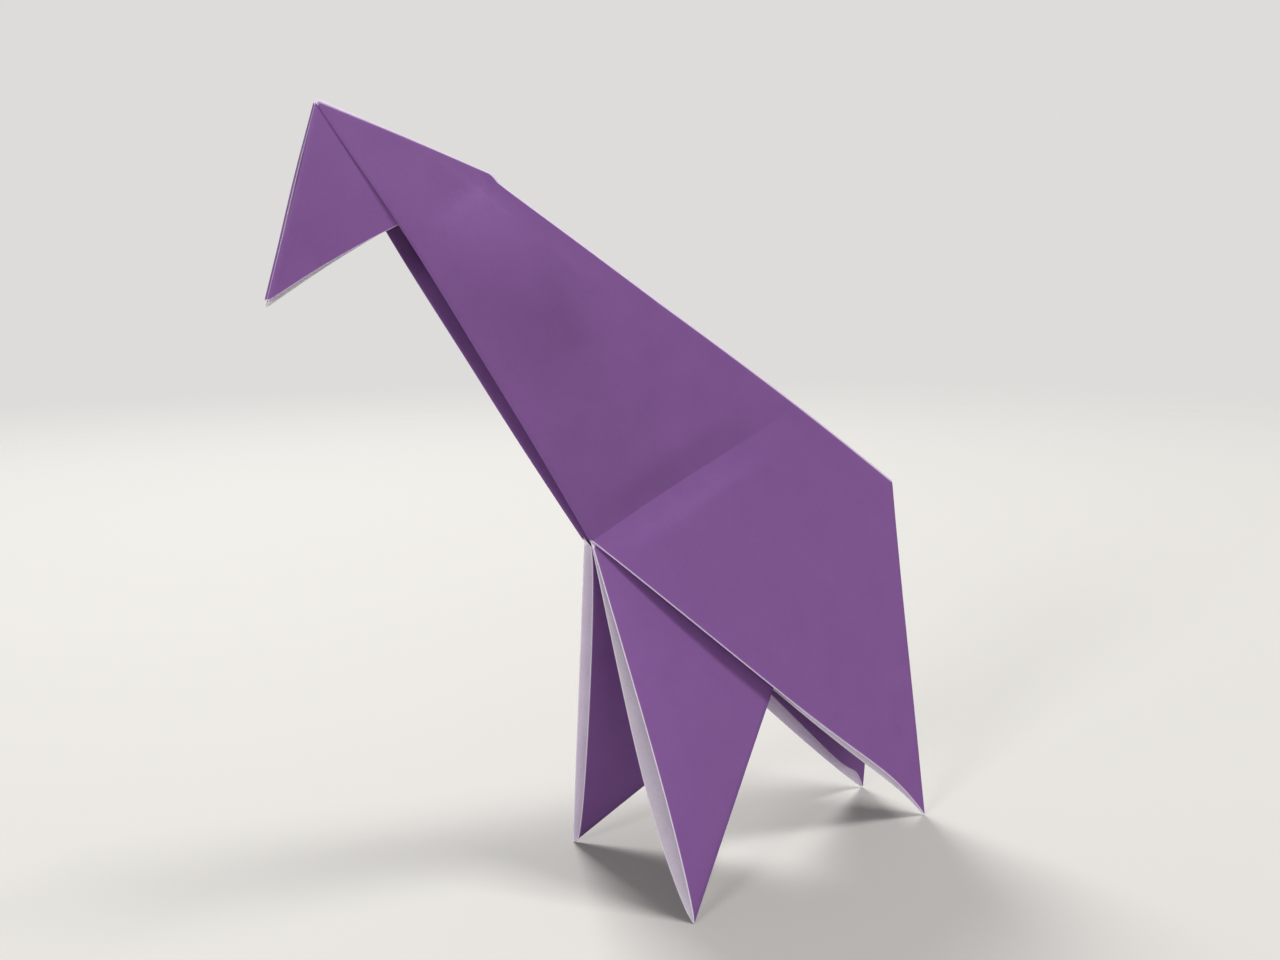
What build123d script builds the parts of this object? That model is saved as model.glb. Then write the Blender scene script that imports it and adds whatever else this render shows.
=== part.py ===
# A giraffe folded from one square of coloured paper, standing on its four corners.
#
# Millimetres. +Z is up, the head points along -X, and the sheet is symmetrical about Y = 0.
# The origin lies on the table, midway between the nose and the hind feet.
# Each flat panel between two folds is one plate of paper, and each pressed fold is a thin bead
# that joins two plates. The left half is laid panel by panel and mirrored.

import os
from build123d import *

# The sheet
paper = 0.1                 # thickness of the paper
fold_swell = 0.02           # how far a pressed fold stands out from the paper on each side

# The back, a straight fold that rises from the rump to the nape
rump_height = 62.1
back_slope = 33.8           # degrees above the table
back_length = 95.3          # rump to the nape, where the head turns down
saddle_length = 27.1        # rump to the old crease that runs from the shoulder to the chest
saddle_dip = 0.4            # how far that crease is pressed in, at its middle

# A length runs forward along the back from the rump, and a drop runs square to the back, downwards.
# Gaps and spreads run from the left side to the right.
crown_length = 122.1
crown_drop = 7.0
crown_gap = 2.4             # slit between the two folds that run from the crown to the nose
chest_length = 52.0
chest_drop = 38.9
chest_gap = 2.6
throat_share = 0.56         # place along the neck's front fold where it opens widest
throat_gap = 6.4

# The head, turned in between the two sides of the neck, with the sheet's edge as a flap outside it
nose_length = 113.9
nose_drop = 34.6
bare_share = 0.07           # share of the forehead, from the nose, that the flap leaves bare
lip_share = 0.66            # place along the jaw where the flap goes into the neck
lip_gap = 1.0

# The gusset that is pushed in between the hind legs
gusset_length = 17.2
gusset_drop = 41.7

# The flap that lies inside the neck and carries the front leg
flap_length = 80.1
flap_drop = 13.6
flap_gap = 0.4
hanger_length = 25.8
hanger_drop = 25.0
hanger_gap = 0.5

# The front legs, each a corner of the sheet folded in half
knee_length = 7.4           # top of the fold behind the leg, inside the body
knee_drop = 41.9
knee_spread = 6.8
shin_share = 0.58           # place down the leg's front edge where it opens widest
shin_opening = 3.0

# The feet, whose reach is level and runs forward from the rump
hind_foot_reach = -0.7
hind_foot_spread = 17.5
front_foot_reach = 58.8
front_foot_spread = 38.5
foot_trim = 0.3             # length of each foot's tip that is bent flat by the weight

fold_radius = paper / 2 + fold_swell
nose_reach = Vector(nose_length, 0, nose_drop).rotate(Axis.Y, back_slope).X
rump_x = (nose_reach + hind_foot_reach) / 2


def on_back(length, drop=0.0, width=0.0):
    """Give the point of the left side that lies a length along the back and a drop below it."""
    level = Vector(-length, 0, -drop).rotate(Axis.Y, back_slope)
    return Vector(rump_x + level.X, -width / 2, rump_height + level.Z)


def on_table(reach, width):
    """Give the tip of a foot on the left side, just below the table that trims it."""
    return Vector(rump_x - reach, -width / 2, -foot_trim)


def between(start, end, share):
    """Give the point that lies a share of the way from one corner to another."""
    return start + (end - start) * share


def spread(point, width):
    """Move a point of the left side sideways, to half of a full width."""
    return Vector(point.X, -width / 2, point.Z)


rump = on_back(0)
shoulder = on_back(saddle_length)
nape = on_back(back_length)
crown = on_back(crown_length, crown_drop, crown_gap)
chest = on_back(chest_length, chest_drop, chest_gap)
throat = spread(between(crown, chest, throat_share), throat_gap)
saddle = (shoulder + chest) / 2 + Vector(0, saddle_dip, 0)
nose = on_back(nose_length, nose_drop)
lip = spread(between(nose, nape, lip_share), lip_gap)
bare = between(nose, crown, bare_share)
gusset = on_back(gusset_length, gusset_drop)
flap = on_back(flap_length, flap_drop, flap_gap)
hanger = on_back(hanger_length, hanger_drop, hanger_gap)
knee = on_back(knee_length, knee_drop, knee_spread)
hind_foot = on_table(hind_foot_reach, hind_foot_spread)
front_foot = on_table(front_foot_reach, front_foot_spread)
shin = between(chest, front_foot, shin_share) + Vector(0, shin_opening, 0)

flank_panels = [
    (crown, nape, throat),
    (nape, chest, throat),
    (nape, shoulder, saddle),
    (nape, saddle, chest),
    (shoulder, rump, saddle),
    (rump, chest, saddle),
    (rump, hind_foot, chest),
]
gusset_panels = [(rump, hind_foot, gusset)]
head_panels = [
    (crown, nape, nose),
    (crown, bare, lip),
]
flap_panels = [
    (crown, throat, flap),
    (throat, chest, flap),
    (chest, flap, hanger),
    (chest, hanger, knee),
]
leg_panels = [
    (chest, shin, knee),
    (shin, front_foot, knee),
    (chest, front_foot, knee),
]
folds = [
    (crown, nape),
    (nape, rump),
    (crown, throat),
    (throat, chest),
    (rump, hind_foot),
    (rump, gusset),
    (nape, nose),
    (crown, bare),
    (chest, knee),
    (front_foot, knee),
]


def panel_face(corners):
    """Draw the flat face of one panel through its three corners."""
    first, second, third = corners
    along = second - first
    plane = Plane(origin=first, x_dir=along, z_dir=along.cross(third - first))
    with BuildSketch(plane) as face:
        with BuildLine():
            Polyline(*[plane.to_local_coords(point) for point in corners], close=True)
        make_face()
    return face.sketch


def bead_face(start, end):
    """Draw the round section of a pressed fold, at its start."""
    with BuildSketch(Plane(origin=start, z_dir=end - start)) as face:
        Circle(fold_radius)
    return face.sketch


with BuildPart() as folded_sheet:
    for corners in flank_panels + gusset_panels + head_panels + flap_panels + leg_panels:
        extrude(panel_face(corners), amount=paper / 2, both=True)
    for start, end in folds:
        extrude(bead_face(start, end), amount=(end - start).length)
    split(bisect_by=Plane.XZ, keep=Keep.TOP)
    mirror(about=Plane.XZ)
    split(bisect_by=Plane.XY, keep=Keep.TOP)

folded_sheet.part.label = "folded_sheet"
os.makedirs("parts", exist_ok=True)
export_step(folded_sheet.part, "parts/folded_sheet.step")
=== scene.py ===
"""A giraffe folded from one square of purple paper, dressed and lit for a studio picture.

Lengths in the classes below are millimetres, as a folder would measure them, and meshes are metres.
The head points along -X, the table is Z = 0, and the animal's left side lies towards -Y.
"""

import logging
import math
from dataclasses import dataclass, field
from enum import Enum, IntEnum

import bmesh
import bpy
from mathutils import Matrix, Vector, noise


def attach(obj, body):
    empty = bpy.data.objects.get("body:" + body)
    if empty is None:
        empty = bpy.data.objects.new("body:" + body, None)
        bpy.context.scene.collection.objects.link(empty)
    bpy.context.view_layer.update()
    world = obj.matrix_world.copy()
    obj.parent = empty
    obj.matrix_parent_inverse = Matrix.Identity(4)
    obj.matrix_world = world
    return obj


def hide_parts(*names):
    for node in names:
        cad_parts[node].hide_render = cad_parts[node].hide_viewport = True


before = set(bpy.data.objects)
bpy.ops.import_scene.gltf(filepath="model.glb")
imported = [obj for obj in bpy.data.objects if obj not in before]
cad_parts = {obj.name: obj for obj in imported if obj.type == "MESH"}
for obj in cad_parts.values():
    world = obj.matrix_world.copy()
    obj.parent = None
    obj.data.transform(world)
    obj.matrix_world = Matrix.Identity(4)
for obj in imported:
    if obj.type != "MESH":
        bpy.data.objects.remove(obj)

MM = 0.001
SHEET_NODE = "folded_sheet"
PHOTO_WIDTH = 1280          # pixels, the picture's whole width
WEAR_AND_HIGHLIGHT = "wear_and_highlight"               # attribute that is one on raw edges, where the pale cut edge shows, and on the folds along the back and the top of the neck, where it carries a painted highlight
MIDDLE = 0.5                # share of a line's length

log = logging.getLogger("giraffe")


class Side(Enum):
    """One half of the sheet, by the sign of its Y."""

    LEFT = -1
    RIGHT = 1


class Face(IntEnum):
    """The two sides of the paper, as material slots."""

    COLOURED = 0
    PLAIN = 1


class MixSocket(IntEnum):
    """The inputs of a mix node, whose names repeat for each kind of data."""

    SHARE = 0
    FIRST_NUMBER = 2
    SECOND_NUMBER = 3
    FIRST_COLOUR = 6
    SECOND_COLOUR = 7


class MixResult(IntEnum):
    """The outputs of a mix node."""

    NUMBER = 0
    COLOUR = 2


def linear(hex_colour: str) -> tuple[float, float, float, float]:
    """Turn an sRGB hex colour into the linear colour that shaders take.

    Args:
        hex_colour: Six hex digits, such as "7c5a96".

    Returns:
        Linear red, green and blue, and an alpha of one.
    """
    channels = [int(hex_colour[i:i + 2], 16) / 255 for i in (0, 2, 4)]
    straight = [c / 12.92 if c <= 0.04045 else ((c + 0.055) / 1.055) ** 2.4 for c in channels]
    return (*straight, 1.0)


def add_node(
    tree: bpy.types.NodeTree, kind: str, settings: dict | None = None, links: dict | None = None
) -> bpy.types.Node:
    """Add one shader node with its settings and its incoming links.

    Args:
        tree: The node tree that takes the node.
        kind: The node's type name.
        settings: Values by property name, or by the name or index of an input where there is none.
        links: Output sockets by the name or index of the input that they feed.

    Returns:
        The new node.
    """
    node = tree.nodes.new(kind)
    for name, value in (settings or {}).items():
        if isinstance(name, str) and hasattr(node, name):
            setattr(node, name, value)
        else:
            node.inputs[name].default_value = value
    for name, socket in (links or {}).items():
        tree.links.new(socket, node.inputs[name])
    return node


def hump(share: float, peak: float) -> float:
    """Give a smooth rise from nought at both ends to one at the peak.

    Args:
        share: Place along a line, from nought to one.
        peak: The place where the rise is highest.

    Returns:
        The height at that place, and nought outside the line.
    """
    if not 0.0 < share < 1.0:
        return 0.0
    return math.sin(math.pi * share ** (math.log(MIDDLE) / math.log(peak)))


@dataclass(frozen=True)
class Back:
    """The straight fold along the back, from which the body, neck and head are measured."""

    rump_x: float = 56.6
    rump_height: float = 62.1
    slope: float = 33.8             # degrees above the table

    def place(self, length: float, drop: float = 0.0, offset: float = 0.0) -> Vector:
        """Give a point by where it lies from the back.

        Args:
            length: Forward along the back from the rump.
            drop: Square below the back.
            offset: Its Y.

        Returns:
            The point, in millimetres.
        """
        turn = math.radians(self.slope)
        reach = length * math.cos(turn) + drop * math.sin(turn)
        rise = length * math.sin(turn) - drop * math.cos(turn)
        return Vector((self.rump_x - reach, offset, self.rump_height + rise))

    def up(self) -> Vector:
        """Give the direction that points squarely out of the back."""
        return (self.place(0, -1) - self.place(0)).normalized()

    def drop(self, point: Vector) -> float:
        """Give how far a point lies below the back."""
        return (self.place(0) - point).dot(self.up())


@dataclass(frozen=True)
class Bend:
    """A soft bend of all the paper near a line: a push that fades along the line and away from it."""

    start: Vector
    end: Vector
    peak: float                     # place along the line where the bend is largest
    reach: float                    # distance from the line at which it has died away
    push: Vector = Vector()         # its Y points away from the middle of the body
    tail: float = 1.0               # how many times farther it reaches below the line than above it
    squeeze: float = 0.0            # share by which the two sides of the body come together
    sharp: bool = False             # an old crease, with its cusp on the line

    def share(self, point: Vector) -> float:
        """Give how much of the bend reaches a point.

        Args:
            point: A point of the sheet.

        Returns:
            A share from nought to one.
        """
        along = (self.end - self.start).xz
        place = (point - self.start).xz.dot(along) / along.length_squared
        below = along.cross((point - self.start).xz) < 0.0
        reach = self.reach * (self.tail if below else 1.0)
        fade = max(0.0, 1.0 - self.distance(point) / reach)
        if not self.sharp:
            fade = fade * fade * (3.0 - 2.0 * fade)
        return hump(place, self.peak) * fade

    def distance(self, point: Vector) -> float:
        """Give how far a point lies from the line, seen from the side of the body."""
        along = (self.end - self.start).xz
        return abs(along.cross((point - self.start).xz)) / along.length


@dataclass(frozen=True)
class EdgeBow:
    """How far one raw edge of a panel stands away from a straight line."""

    push: Vector
    peak: float = MIDDLE            # place along the edge where it is farthest
    fullness: float = 1.0           # below one, the edge leaves its ends more steeply

    def offset(self, share: float) -> Vector:
        """Give the edge's offset at a share of its length."""
        return self.push * hump(share, self.peak) ** self.fullness


@dataclass
class SheetMesh:
    """The growing mesh of the sheet, laid panel by panel and fold by fold."""

    steps: int = 56                 # divisions along each side of a panel
    turns: int = 4                  # divisions around each fold
    smallest: float = 0.002         # points nearer than this become one
    ring: int = 24                  # the most sides of a pin-hole where folds meet
    edge_power: int = 3             # how fast the bow of an edge dies away across a panel
    mesh: bmesh.types.BMesh = field(default_factory=bmesh.new)

    def facet(self, points: list[Vector]) -> None:
        """Add one small face, unless it has no area.

        Args:
            points: Its corners in order, in millimetres.
        """
        corners = [p for i, p in enumerate(points) if (p - points[i - 1]).length > self.smallest]
        if len(corners) > 2:
            self.mesh.faces.new([self.mesh.verts.new(p) for p in corners])

    def grid(self, rows: list[list[Vector]]) -> None:
        """Add the faces between neighbouring rows of points.

        Args:
            rows: Rows of equal length, each next to the one before.
        """
        for near, far in zip(rows, rows[1:]):
            for i in range(len(near) - 1):
                self.facet([near[i], near[i + 1], far[i + 1], far[i]])

    def four_sided(self, a: Vector, b: Vector, c: Vector, d: Vector, *bows: EdgeBow) -> None:
        """Lay a gently twisted panel with four corners.

        Args:
            a: First corner.
            b: Second corner, next to the first.
            c: Third corner.
            d: Fourth corner, next to the first.
            bows: How the edge from the fourth to the third corner is bowed.
        """
        def place(u: float, v: float) -> Vector:
            """Give the point at a share along the first edge and a share across to the last."""
            flat = a.lerp(b, u).lerp(d.lerp(c, u), v)
            return flat + sum((bow.offset(u) for bow in bows), Vector()) * v ** self.edge_power

        shares = [i / self.steps for i in range(self.steps + 1)]
        self.grid([[place(u, v) for u in shares] for v in shares])

    def three_sided(self, a: Vector, b: Vector, c: Vector, *bows: EdgeBow) -> None:
        """Lay a panel with three corners, in small triangles of its own shape.

        Args:
            a: First corner.
            b: Second corner, across from the edge that may be bowed.
            c: Third corner.
            bows: How the edge from the first to the third corner is bowed.
        """
        def place(i: int, j: int) -> Vector:
            """Give one point of the panel.

            Args:
                i: Steps towards the second corner.
                j: Steps towards the third corner.

            Returns:
                The point, with its share of the bows.
            """
            across, down = i / self.steps, j / self.steps
            flat = a + (b - a) * across + (c - a) * down
            along = down / (1.0 - across) if across < 1.0 else 0.0
            bowed = sum((bow.offset(along) for bow in bows), Vector())
            return flat + bowed * (1.0 - across) ** self.edge_power

        for j in range(self.steps):
            for i in range(self.steps - j):
                self.facet([place(i, j), place(i + 1, j), place(i, j + 1)])
                if i + j < self.steps - 1:
                    self.facet([place(i + 1, j), place(i + 1, j + 1), place(i, j + 1)])

    def fold(
        self,
        a: tuple[Vector, Vector],
        b: tuple[Vector, Vector],
        out: Vector,
        *bows: EdgeBow,
        worn_and_highlit: bool = False,
    ) -> None:
        """Join the edges of two panels by a narrow half-round turn of paper.

        Args:
            a: Start and end of the first panel's edge.
            b: Start and end of the second panel's edge.
            out: The direction towards which the fold is rounded.
            bows: How both edges are bowed.
            worn_and_highlit: Whether it takes the paler colour, a painted highlight where light catches the
                fold.
        """
        rows = []
        for share in (i / self.steps for i in range(self.steps + 1)):
            shift = sum((bow.offset(share) for bow in bows), Vector())
            first = a[0].lerp(a[1], share) + shift
            second = b[0].lerp(b[1], share) + shift
            middle = (first + second) / 2
            arm = first - middle
            round_off = out.normalized() * arm.length
            angles = [math.pi * j / self.turns for j in range(1, self.turns)]
            turn = [middle + arm * math.cos(t) + round_off * math.sin(t) for t in angles]
            rows.append([first, *turn, second])
        before = len(self.mesh.faces)
        self.grid(rows)
        self.mesh.faces.ensure_lookup_table()
        # Flag the fold's faces when it carries a painted highlight.
        for face in self.mesh.faces[before:]:
            face.smooth = worn_and_highlit

    def close(self) -> None:
        """Merge the panels into one sheet, close the pin-holes and mark the raw edges, which are pale at
        the cut, and the folds that carry a painted highlight.
        """
        bmesh.ops.remove_doubles(self.mesh, verts=self.mesh.verts[:], dist=self.smallest)
        wear_and_highlight = self.mesh.verts.layers.float.new(WEAR_AND_HIGHLIGHT)
        for vert in self.mesh.verts:
            # Raw edges are pale where the paper is cut; the flagged folds carry a painted highlight.
            worn_and_highlit = vert.is_boundary or any(f.smooth for f in vert.link_faces)
            vert[wear_and_highlight] = 1.0 if worn_and_highlit else 0.0
        open_edges = [e for e in self.mesh.edges if e.is_boundary]
        bmesh.ops.holes_fill(self.mesh, edges=open_edges, sides=self.ring)
        bmesh.ops.recalc_face_normals(self.mesh, faces=self.mesh.faces[:])


@dataclass(frozen=True)
class Half:
    """The corners that the panels of one half of the sheet share."""

    side: Side
    crown: Vector
    nape: Vector
    shoulder: Vector
    rump: Vector
    chest: Vector
    hind_foot: Vector
    front_foot: Vector
    head_crown: Vector              # the layers inside the neck start from the next five
    head_nape: Vector
    nose: Vector
    flap_crown: Vector
    flap_chest: Vector


@dataclass(frozen=True)
class LegShape:
    """How the legs of one half came out, which differs a little between the two sides."""

    belly: EdgeBow                  # the raw edge of the flank, from the chest to the hind foot
    gusset: EdgeBow                 # the raw edge behind it, up from the hind foot
    shin: EdgeBow                   # the front leg's inner raw edge
    leg: EdgeBow                    # the front leg's outer raw edge
    knee_length: float              # top of the fold behind the front leg, inside the body
    knee_drop: float


@dataclass
class FoldedGiraffe:
    """The one folded sheet: body, neck, head and legs."""

    back: Back = field(default_factory=Back)
    paper: float = 0.1              # thickness
    sheet_side: float = 150.0       # the flat square
    fold_radius: float = 0.21       # half of the width of a pressed fold
    smooth_angle: float = 35.0      # degrees

    # Lengths run forward along the back from the rump, and drops run square to it
    nape_length: float = 95.3
    shoulder_length: float = 27.1
    crown_length: float = 122.1
    crown_drop: float = 7.0
    crown_half: float = 0.65
    chest_length: float = 52.0
    chest_drop: float = 38.9
    chest_half: float = 1.3

    # The head, turned in between the sides of the neck, with the sheet's edge as a flap outside it
    nose_length: float = 113.9
    nose_drop: float = 34.6
    jaw_half: float = 0.12
    bare_share: float = 0.03        # share of the forehead that the flap leaves bare at the nose
    jaw_rise: float = 1.05          # the fold under the jaw bows up, and the flap's edge a little more
    flap_rise: float = 1.2
    flap_length: float = 94.8
    flap_drop: float = 1.0

    # The layers inside the body
    hanger_length: float = 25.8
    hanger_drop: float = 25.0
    hanger_half: float = 0.25
    knee_half: float = 3.4
    gusset_length: float = 17.2
    gusset_drop: float = 42.7
    valley_drop: float = 0.63       # the gusset's own fold starts this far below the rump

    # Feet
    foot_lift: float = 0.2          # the middle of the paper above the table
    hind_foot_x: float = 57.25
    hind_foot_half: float = 8.7
    front_foot_x: float = -2.2
    front_foot_half: float = 19.15

    # The legs of the two sides
    left: LegShape = LegShape(
        belly=EdgeBow(Vector((0, 0, 1.75)), peak=0.87),
        gusset=EdgeBow(Vector((0, 0, 0.8)), peak=0.85),
        shin=EdgeBow(Vector((0, 3.8, 0)), peak=0.68, fullness=0.6),
        leg=EdgeBow(Vector((0.5, -0.8, 0)), peak=0.68, fullness=0.6),
        knee_length=7.4,
        knee_drop=41.9,
    )
    right: LegShape = LegShape(
        belly=EdgeBow(Vector((0, 0, -0.8)), peak=0.75, fullness=0.6),
        gusset=EdgeBow(Vector((0, 0, 1.6)), peak=0.95),
        shin=EdgeBow(Vector((0, -3.4, 0)), peak=0.4, fullness=0.3),
        leg=EdgeBow(Vector()),
        knee_length=3.4,
        knee_drop=45.0,
    )

    # Bends of the paper
    throat_bow: float = 1.95        # the neck's front fold springs open
    throat_peak: float = 0.56
    throat_reach: float = 34.0
    belly_curl: float = 1.5         # the raw edge of the flank curls away from the leg
    belly_curl_peak: float = 0.42
    crease: float = 0.9             # the old crease from shoulder to chest presses the sides together
    crease_reach: float = 5.0
    pillow: float = 1.2             # the neck lies like a pillow over the layers of the head
    pillow_start: tuple[float, float] = (128.0, 16.0)
    pillow_end: tuple[float, float] = (66.0, 13.0)
    pillow_reach: float = 13.0
    swell: float = 1.7              # a soft ridge runs down the side from below the nape
    swell_start: tuple[float, float] = (96.4, 2.1)
    swell_end: tuple[float, float] = (70.0, 14.0)
    swell_peak: float = 0.37
    swell_reach: float = 4.6
    swell_tail: float = 3.0         # it falls away gently on its lower side
    notch: float = 0.55             # the back sinks just behind the nape
    notch_length: float = 36.0
    notch_peak: float = 0.06
    notch_reach: float = 9.0
    withers: float = 0.5            # the back stands a little proud at the shoulder
    withers_span: float = 66.0
    ridge_reach: float = 4.0        # how far down the pressed fold of the back holds the sides together
    layer_room: float = 0.3         # nearer the middle than this, layers follow a bend less and stay apart
    ripple: float = 0.12            # slow unevenness of the sheet
    ripple_span: float = 28.0

    def corner(self, side: Side, length: float, drop: float, half: float) -> Vector:
        """Give a point of one half by its length along the back, its drop and its half width."""
        return self.back.place(length, drop, side.value * half)

    def legs(self, side: Side) -> LegShape:
        """Give the shape of the legs of one half."""
        return self.left if side is Side.LEFT else self.right

    def half(self, side: Side) -> Half:
        """Work out the shared corners of one half.

        Args:
            side: The half.

        Returns:
            Its corners, in millimetres.
        """
        radius = self.fold_radius
        inwards = Vector((0, -2 * side.value * radius, 0))
        crown = self.corner(side, self.crown_length, self.crown_drop, self.crown_half)
        chest = self.corner(side, self.chest_length, self.chest_drop, self.chest_half)
        return Half(
            side=side,
            crown=crown,
            nape=self.corner(side, self.nape_length, 0, radius),
            shoulder=self.corner(side, self.shoulder_length, 0, radius),
            rump=self.corner(side, 0, 0, radius),
            chest=chest,
            hind_foot=Vector((self.hind_foot_x, side.value * self.hind_foot_half, self.foot_lift)),
            front_foot=Vector((self.front_foot_x, side.value * self.front_foot_half, self.foot_lift)),
            head_crown=crown + inwards,
            head_nape=self.corner(side, self.nape_length, radius, self.jaw_half),
            nose=self.corner(side, self.nose_length, self.nose_drop, self.jaw_half),
            flap_crown=crown + inwards / 2 - Vector((0, 0, 2 * radius)),
            flap_chest=chest + inwards,
        )

    def lay_hind_leg(self, sheet: SheetMesh, half: Half) -> None:
        """Lay the flank with its hind leg, and the gusset that is pushed in behind it.

        Args:
            sheet: The mesh that takes them.
            half: The corners of this half.
        """
        side = half.side
        legs = self.legs(side)
        sheet.four_sided(half.crown, half.nape, half.shoulder, half.chest)
        curl = EdgeBow(Vector((0, side.value * self.belly_curl, 0)), self.belly_curl_peak)
        sheet.four_sided(half.shoulder, half.rump, half.hind_foot, half.chest, legs.belly, curl)
        valley = self.back.place(0, self.valley_drop)
        tip = half.hind_foot - Vector((0, 2 * side.value * self.fold_radius, 0))
        gusset = self.back.place(self.gusset_length, self.gusset_drop)
        sheet.three_sided(gusset, valley, tip, legs.gusset)
        sheet.fold((half.rump, half.hind_foot), (valley, tip), Vector((1, 0, 0)))

    def under_jaw(self, half: Half) -> Vector:
        """Give the direction that points squarely out of the fold under the jaw."""
        jaw = (half.nose - half.head_nape).xz.normalized()
        return Vector((-jaw.y, 0, jaw.x))

    def lay_head(self, sheet: SheetMesh, half: Half) -> None:
        """Lay the head that is turned in at the nape, and the flap outside it and inside the neck.

        Args:
            sheet: The mesh that takes them.
            half: The corners of this half.
        """
        side = half.side
        under = self.under_jaw(half)
        sheet.three_sided(half.head_nape, half.head_crown, half.nose, EdgeBow(under * -self.jaw_rise))
        # The fold along the top of the neck carries a painted highlight, where light catches it.
        sheet.fold((half.crown, half.nape), (half.head_crown, half.head_nape), self.back.up(), worn_and_highlit=True)
        flap_nape = self.corner(side, self.flap_length, self.flap_drop, self.jaw_half)
        outwards = Vector((0, 2 * side.value * self.fold_radius, 0))
        bare = (half.nose + outwards).lerp(half.flap_crown, self.bare_share)
        fold_end = half.nose.lerp(half.head_crown, self.bare_share)
        sheet.three_sided(flap_nape, half.flap_crown, bare, EdgeBow(under * -self.flap_rise))
        sheet.fold((half.flap_crown, bare), (half.head_crown, fold_end), Vector((-1, 0, 0)))
        sheet.three_sided(half.flap_crown, flap_nape, half.flap_chest)
        sheet.fold((half.crown, half.chest), (half.flap_crown, half.flap_chest), Vector((-1, 0, -1)))
        hanger = self.corner(side, self.hanger_length, self.hanger_drop, self.hanger_half)
        sheet.three_sided(flap_nape, hanger, half.flap_chest)

    def lay_front_leg(self, sheet: SheetMesh, half: Half) -> None:
        """Lay the front leg, a corner of the sheet folded in half that hangs from inside the body.

        Args:
            sheet: The mesh that takes it.
            half: The corners of this half.
        """
        side = half.side
        legs = self.legs(side)
        inwards = Vector((0, -2 * side.value * self.fold_radius, 0))
        hanger = self.corner(side, self.hanger_length, self.hanger_drop, self.hanger_half)
        knee = self.corner(side, legs.knee_length, legs.knee_drop, self.knee_half)
        sheet.three_sided(hanger, knee + inwards, half.flap_chest)
        sheet.three_sided(half.flap_chest, knee + inwards, half.front_foot + inwards, legs.shin)
        sheet.three_sided(half.chest + inwards / 2, knee, half.front_foot, legs.leg)
        sheet.fold((knee, half.front_foot), (knee + inwards, half.front_foot + inwards), Vector((1, 0, -1)))

    def lay_spine(self, sheet: SheetMesh, left: Half, right: Half) -> None:
        """Join the two halves by the folds along the back and under the jaw.

        Args:
            sheet: The mesh that takes them.
            left: The corners of the left half.
            right: The corners of the right half.
        """
        up = self.back.up()
        # The folds along the back carry a painted highlight, where light catches them.
        sheet.fold((left.nape, left.shoulder), (right.nape, right.shoulder), up, worn_and_highlit=True)
        sheet.fold((left.shoulder, left.rump), (right.shoulder, right.rump), up, worn_and_highlit=True)
        under = self.under_jaw(left)
        rise = EdgeBow(under * -self.jaw_rise)
        sheet.fold((left.head_nape, left.nose), (right.head_nape, right.nose), under, rise)

    def bends(self) -> list[Bend]:
        """List the soft bends that all layers of a half follow.

        Returns:
            The bends, in no special order.
        """
        place = self.back.place
        up = self.back.up()
        out = Vector((0, 1, 0))
        crown = place(self.crown_length, self.crown_drop)
        chest = place(self.chest_length, self.chest_drop)
        nape = place(self.nape_length)
        shoulder = place(self.shoulder_length)
        notch_end = place(self.nape_length - self.notch_length)
        span = self.withers_span / 2
        withers = (place(self.shoulder_length + span), place(self.shoulder_length - span))
        pillow = (place(*self.pillow_start), place(*self.pillow_end))
        swell = (place(*self.swell_start), place(*self.swell_end))
        swell_push = out * self.swell
        return [
            Bend(crown, chest, self.throat_peak, self.throat_reach, out * self.throat_bow),
            Bend(*pillow, MIDDLE, self.pillow_reach, out * self.pillow),
            Bend(shoulder, chest, MIDDLE, self.crease_reach, squeeze=self.crease, sharp=True),
            Bend(*swell, self.swell_peak, self.swell_reach, swell_push, self.swell_tail),
            Bend(nape, notch_end, self.notch_peak, self.notch_reach, up * -self.notch),
            Bend(*withers, MIDDLE, self.notch_reach, up * self.withers),
        ]

    def bend(self, sheet: SheetMesh) -> None:
        """Bend the laid sheet as the real paper bends.

        Args:
            sheet: The mesh, still flat between its folds.
        """
        bends = self.bends()
        creases = [b for b in bends if b.sharp]
        for edge in sheet.mesh.edges:
            reach = [max(crease.distance(v.co) for v in edge.verts) for crease in creases]
            edge.smooth = min(reach) > sheet.smallest
        for vert in sheet.mesh.verts:
            point = vert.co.copy()
            shares = [b.share(point) for b in bends]
            push = sum((b.push * share for b, share in zip(bends, shares)), Vector())
            push.y += self.ripple * noise.noise(point / self.ripple_span) * min(1.0, abs(point.y))
            held = max(0.0, min(1.0, self.back.drop(point) / self.ridge_reach))
            push.y *= held * math.copysign(min(1.0, abs(point.y) / self.layer_room), point.y)
            vert.co.y *= 1.0 - sum(b.squeeze * share for b, share in zip(bends, shares))
            vert.co += push

    def build(self) -> bpy.types.Object:
        """Make the sheet as one object, without thickness yet.

        Returns:
            The object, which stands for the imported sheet.
        """
        sheet = SheetMesh()
        halves = [self.half(side) for side in Side]
        for half in halves:
            self.lay_hind_leg(sheet, half)
            self.lay_head(sheet, half)
            self.lay_front_leg(sheet, half)
        self.lay_spine(sheet, *halves)
        sheet.close()
        self.bend(sheet)
        bmesh.ops.scale(sheet.mesh, vec=Vector((MM, MM, MM)), verts=sheet.mesh.verts[:])
        data = bpy.data.meshes.new("folded_paper")
        sheet.mesh.to_mesh(data)
        sheet.mesh.free()
        paper = bpy.data.objects.new("folded_paper", data)
        bpy.context.scene.collection.objects.link(paper)
        return paper

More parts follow.
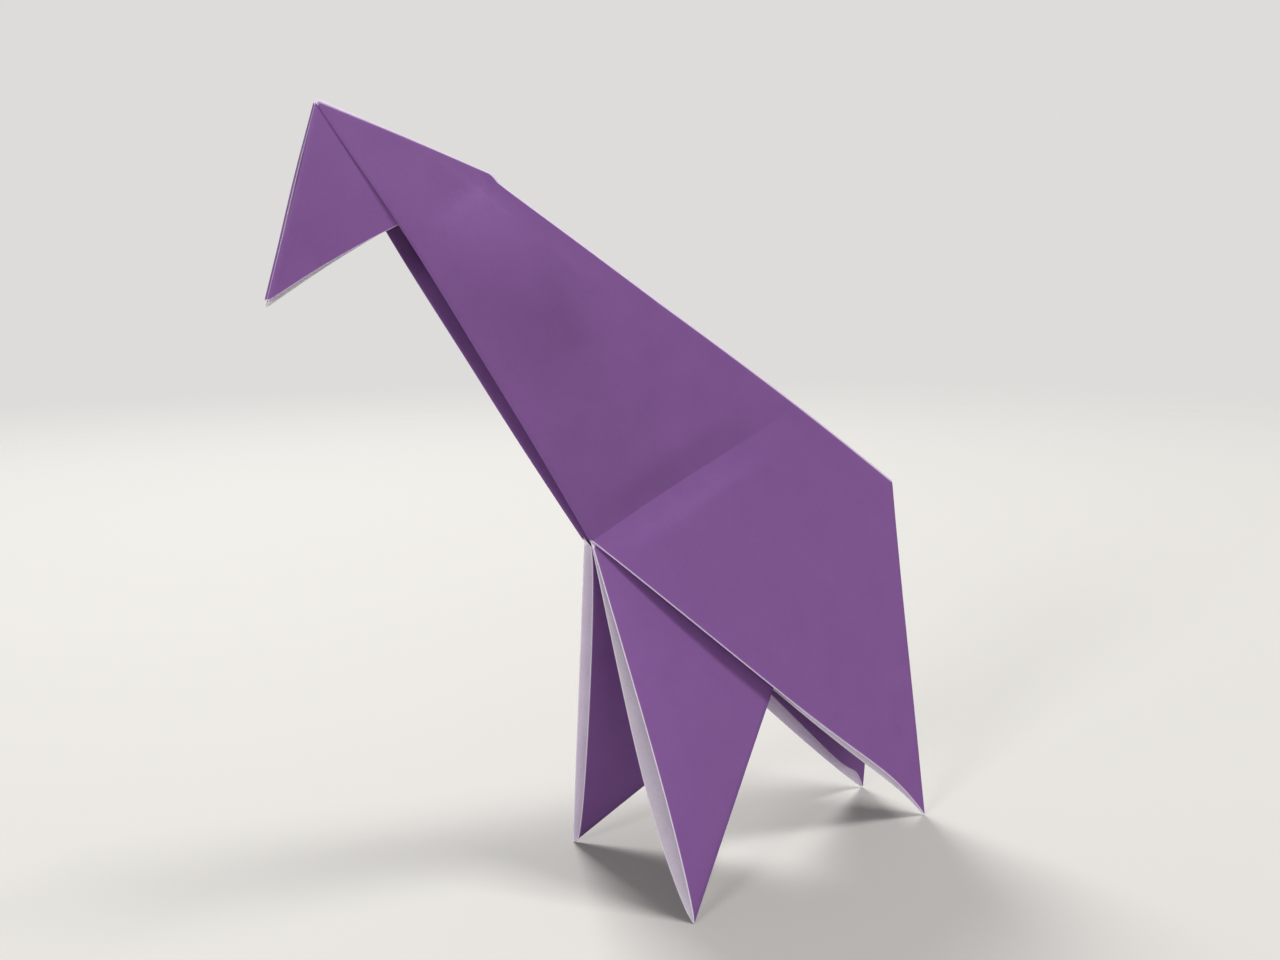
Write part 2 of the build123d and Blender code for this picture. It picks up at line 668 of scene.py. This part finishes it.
    def thicken(self, paper: bpy.types.Object) -> None:
        """Give the sheet its thickness, with the plain side and the cut edge in the second slot.

        Args:
            paper: The sheet without thickness.
        """
        bpy.ops.object.select_all(action="DESELECT")
        paper.select_set(True)
        bpy.context.view_layer.objects.active = paper
        solid = paper.modifiers.new("thickness", "SOLIDIFY")
        solid.thickness = self.paper * MM
        solid.offset = 0.0
        solid.material_offset = int(Face.PLAIN)
        solid.material_offset_rim = int(Face.PLAIN)
        bpy.ops.object.modifier_apply(modifier=solid.name)
        bpy.ops.object.shade_smooth_by_angle(angle=math.radians(self.smooth_angle))

    def dress(self, paper: bpy.types.Object, finishes: list["PaperFinish"]) -> None:
        """Give the sheet its two faces and tell the frame what it stands for.

        Args:
            paper: The sheet.
            finishes: The coloured and the plain finish, in slot order.
        """
        for finish in finishes:
            paper.data.materials.append(finish.material())
        self.thicken(paper)
        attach(paper, "root")
        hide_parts(SHEET_NODE)


@dataclass(frozen=True)
class PaperFinish:
    """Uncoated kami: a matt, faintly fibrous sheet that lets some light through."""

    name: str
    light: str                      # sRGB, where the pulp is thin
    dark: str                       # sRGB, where the pulp is thick
    worn_and_highlit: str                       # sRGB, pale on raw edges, and a painted highlight along the folds of the back and neck
    wear_and_highlight: float = 0.85              # how far the colour goes there
    wear_and_highlight_start: float = 0.64        # share of the attribute at which the pale edge and the painted highlight set in
    thick: float = 0.3              # levels of the pattern between which the pulp goes from thick to thin
    thin: float = 0.7
    cloud: float = 6.0              # size of the pulp's clouds, in millimetres
    cloud_detail: float = 3.0       # finer octaves of the pattern
    fibre: float = 0.35             # drawn a little coarser than real fibres, so that they show
    fibre_detail: float = 2.0
    fibre_share: float = 0.45
    fibre_height: float = 0.012     # millimetres
    through: float = 0.35           # share of the light that passes into the sheet
    roughness: float = 0.72
    ior: float = 1.45               # cellulose fibres, with air between them

    def pulp(self, tree: bpy.types.NodeTree) -> tuple[bpy.types.NodeSocket, bpy.types.NodeSocket]:
        """Add the cloudy, fibrous colour of the sheet, paler on raw edges and with a painted highlight
        along the folds of the back and neck.

        Args:
            tree: The material's nodes.

        Returns:
            The colour, and the height of the fibres.
        """
        place = add_node(tree, "ShaderNodeTexCoord").outputs["Object"]
        clouds = add_node(tree, "ShaderNodeTexNoise",
                          {"Scale": 1 / (self.cloud * MM), "Detail": self.cloud_detail},
                          {"Vector": place})
        fibres = add_node(tree, "ShaderNodeTexNoise",
                          {"Scale": 1 / (self.fibre * MM), "Detail": self.fibre_detail},
                          {"Vector": place})
        pulp = add_node(tree, "ShaderNodeMix", {"data_type": "FLOAT", MixSocket.SHARE: self.fibre_share},
                        {MixSocket.FIRST_NUMBER: clouds.outputs["Fac"],
                         MixSocket.SECOND_NUMBER: fibres.outputs["Fac"]})
        ramp = add_node(tree, "ShaderNodeValToRGB", links={"Fac": pulp.outputs[MixResult.NUMBER]})
        dark, light = ramp.color_ramp.elements
        dark.position, dark.color = self.thick, linear(self.dark)
        light.position, light.color = self.thin, linear(self.light)
        # Raw edges pale at the cut, and a painted highlight along the folds of the back and neck.
        wear_and_highlight = add_node(tree, "ShaderNodeAttribute", {"attribute_name": WEAR_AND_HIGHLIGHT})
        wear_and_highlight_share = add_node(tree, "ShaderNodeMapRange", {"From Min": self.wear_and_highlight_start, "To Max": self.wear_and_highlight},
                          {"Value": wear_and_highlight.outputs["Fac"]})
        colour = add_node(tree, "ShaderNodeMix",
                          {"data_type": "RGBA", MixSocket.SECOND_COLOUR: linear(self.worn_and_highlit)},
                          {MixSocket.SHARE: wear_and_highlight_share.outputs["Result"],
                           MixSocket.FIRST_COLOUR: ramp.outputs["Color"]})
        return colour.outputs[MixResult.COLOUR], fibres.outputs["Fac"]

    def material(self) -> bpy.types.Material:
        """Make the finish as a shader.

        Returns:
            The new material.
        """
        material = bpy.data.materials.new(self.name)
        material.use_nodes = True
        tree = material.node_tree
        tree.nodes.clear()
        colour, height = self.pulp(tree)
        bump = add_node(tree, "ShaderNodeBump", {"Distance": self.fibre_height * MM}, {"Height": height})
        surface = add_node(tree, "ShaderNodeBsdfPrincipled", {"Roughness": self.roughness, "IOR": self.ior},
                           {"Base Color": colour, "Normal": bump.outputs["Normal"]})
        glow = add_node(tree, "ShaderNodeBsdfTranslucent", links={"Color": colour})
        mixed = add_node(tree, "ShaderNodeMixShader", {"Fac": self.through},
                         {1: surface.outputs[0], 2: glow.outputs[0]})
        add_node(tree, "ShaderNodeOutputMaterial", links={"Surface": mixed.outputs[0]})
        return material


@dataclass(frozen=True)
class TableFinish:
    """A plain pale painted board, matt and even, that melts into the backdrop far behind."""

    name: str = "pale_board"
    colour: str = "a19f9b"
    roughness: float = 0.8
    melt_start: float = 260.0       # distances from the giraffe, in millimetres
    melt_end: float = 1500.0

    def material(self) -> bpy.types.Material:
        """Make the finish as a shader.

        Returns:
            The new material.
        """
        material = bpy.data.materials.new(self.name)
        material.use_nodes = True
        tree = material.node_tree
        tree.nodes.clear()
        place = add_node(tree, "ShaderNodeTexCoord").outputs["Object"]
        away = add_node(tree, "ShaderNodeVectorMath", {"operation": "LENGTH"}, {0: place})
        melt = add_node(tree, "ShaderNodeMapRange",
                        {"interpolation_type": "SMOOTHSTEP", "From Min": self.melt_start * MM,
                         "From Max": self.melt_end * MM}, {"Value": away.outputs["Value"]})
        board = add_node(tree, "ShaderNodeBsdfPrincipled",
                         {"Base Color": linear(self.colour), "Roughness": self.roughness})
        clear = add_node(tree, "ShaderNodeBsdfTransparent")
        mixed = add_node(tree, "ShaderNodeMixShader",
                         links={0: melt.outputs[0], 1: board.outputs[0], 2: clear.outputs[0]})
        add_node(tree, "ShaderNodeOutputMaterial", links={"Surface": mixed.outputs[0]})
        return material


@dataclass(frozen=True)
class Lamp:
    """One soft square lamp that faces the giraffe."""

    name: str
    place: tuple[float, float, float]
    size: float                     # the side of its square
    power: float                    # watts
    aim: tuple[float, float, float] = (0.0, 0.0, 60.0)

    def hang(self) -> bpy.types.Object:
        """Hang the lamp.

        Returns:
            The lamp's object.
        """
        data = bpy.data.lights.new(self.name, "AREA")
        data.size = self.size * MM
        data.energy = self.power
        lamp = bpy.data.objects.new(self.name, data)
        start, end = Vector(self.place) * MM, Vector(self.aim) * MM
        lamp.location = start
        lamp.rotation_euler = (end - start).to_track_quat("-Z", "Y").to_euler()
        bpy.context.scene.collection.objects.link(lamp)
        return lamp


@dataclass
class Studio:
    """The pale floor, the soft lamps and the camera."""

    floor_size: float = 12000.0
    camera_place: tuple[float, float, float] = (-109.4, -177.0, 96.2)
    yaw: float = 32.15              # degrees from +Y towards +X
    pitch: float = 7.83             # degrees downwards
    roll: float = -1.34             # degrees
    focal: float = 1298.05          # pixels
    sensor: float = 36.0            # millimetres, the picture's width
    clip: tuple[float, float] = (0.01, 50.0)
    sky: str = "f4f4f6"
    sky_strength: float = 0.36
    backdrop: str = "dddcda"
    backdrop_strength: float = 1.0  # at which the backdrop shows as it is written
    lamps: tuple[Lamp, ...] = (
        Lamp("window", place=(300.0, 1600.0, 1900.0), size=900.0, power=70.0),
        Lamp("overhead", place=(600.0, -900.0, 2400.0), size=700.0, power=58.0),
        Lamp("side_light", place=(-2600.0, -1100.0, 900.0), size=700.0, power=50.0),
        Lamp("front_fill", place=(-700.0, -2700.0, 350.0), size=1000.0, power=8.0),
    )

    def floor(self) -> bpy.types.Object:
        """Lay the floor under the feet.

        Returns:
            The floor.
        """
        bpy.ops.object.select_all(action="DESELECT")
        bpy.ops.mesh.primitive_plane_add(size=self.floor_size * MM)
        floor = bpy.context.object
        floor.name = "floor"
        floor.data.materials.append(TableFinish().material())
        return floor

    def surroundings(self) -> bpy.types.World:
        """Make an even sky that the eye sees as a pale backdrop.

        Returns:
            The world.
        """
        world = bpy.data.worlds.new("studio")
        world.use_nodes = True
        tree = world.node_tree
        tree.nodes.clear()
        path = add_node(tree, "ShaderNodeLightPath")
        seen = path.outputs["Is Camera Ray"]
        for ray in ("Is Glossy Ray", "Is Transmission Ray"):
            both = add_node(tree, "ShaderNodeMath", {"operation": "MAXIMUM"},
                            {0: seen, 1: path.outputs[ray]})
            seen = both.outputs["Value"]
        light = add_node(tree, "ShaderNodeBackground",
                         {"Color": linear(self.sky), "Strength": self.sky_strength})
        scenery = add_node(tree, "ShaderNodeBackground",
                           {"Color": linear(self.backdrop), "Strength": self.backdrop_strength})
        mixed = add_node(tree, "ShaderNodeMixShader",
                         links={0: seen, 1: light.outputs[0], 2: scenery.outputs[0]})
        add_node(tree, "ShaderNodeOutputWorld", links={"Surface": mixed.outputs[0]})
        bpy.context.scene.world = world
        return world

    def camera(self) -> bpy.types.Object:
        """Set up the camera where the picture was taken from.

        Returns:
            The camera.
        """
        yaw, pitch, roll = (math.radians(a) for a in (self.yaw, self.pitch, self.roll))
        ahead = Vector((math.sin(yaw) * math.cos(pitch), math.cos(yaw) * math.cos(pitch), -math.sin(pitch)))
        level = Vector((math.cos(yaw), -math.sin(yaw), 0.0))
        upright = level.cross(ahead)
        right = level * math.cos(roll) + upright * math.sin(roll)
        top = upright * math.cos(roll) - level * math.sin(roll)
        data = bpy.data.cameras.new("camera")
        data.sensor_width = self.sensor
        data.lens = self.focal * self.sensor / PHOTO_WIDTH
        data.clip_start, data.clip_end = self.clip
        camera = bpy.data.objects.new("camera", data)
        turn = Matrix((right, top, -ahead)).transposed().to_4x4()
        camera.matrix_world = Matrix.Translation(Vector(self.camera_place) * MM) @ turn
        bpy.context.scene.collection.objects.link(camera)
        bpy.context.scene.camera = camera
        return camera

    def build(self) -> None:
        """Set up the floor, the sky, the lamps and the camera."""
        self.floor()
        self.surroundings()
        for lamp in self.lamps:
            lamp.hang()
        self.camera()
        bpy.context.scene.view_settings.view_transform = "Standard"


def main() -> None:
    """Build the giraffe and its studio, and log the sheet's face count."""
    logging.basicConfig(level=logging.INFO, format="%(name)s: %(message)s")
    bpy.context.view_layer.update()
    giraffe = FoldedGiraffe()
    paper = giraffe.build()
    giraffe.dress(paper, [
        # The pale colour on raw edges doubles as a painted highlight along the back and neck folds.
        PaperFinish("purple_kami", light="875a9a", dark="805494", worn_and_highlit="eee4f2"),
        PaperFinish("kami_reverse", light="f3eef4", dark="e6e0e8", worn_and_highlit="f3eef4"),
    ])
    log.info("%s: %d faces", paper.name, len(paper.data.polygons))
    Studio().build()
    log.info("studio ready")


if __name__ == "__main__":
    main()
